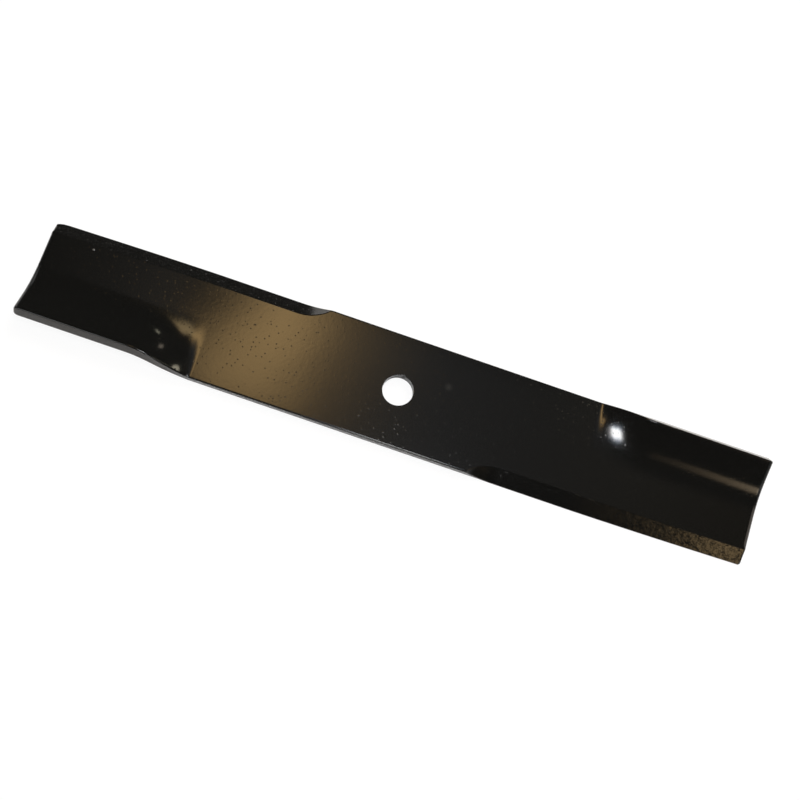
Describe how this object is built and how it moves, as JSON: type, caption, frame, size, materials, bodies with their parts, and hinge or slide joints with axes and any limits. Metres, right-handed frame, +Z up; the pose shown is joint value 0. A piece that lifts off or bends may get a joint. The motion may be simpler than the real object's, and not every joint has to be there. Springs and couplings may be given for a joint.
{
  "type": "rotary mower blade",
  "caption": "Flat steel bar blade for a rotary mower: central spindle hole, milled bevel on each leading edge and a lifting sail pressed up along each trailing edge.",
  "frame": {"origin": "on the spindle hole's axis, in the plane of the flat underside", "axes": "+X along the blade, +Y across it towards the far long edge, +Z up along the spindle hole, the way the sails rise"},
  "size_m": [0.53, 0.0804, 0.0206],
  "materials": {
    "black_enamel": "gloss"
  },
  "bodies": {
    "root": {"blade": "black_enamel"}
  },
  "joints": []
}
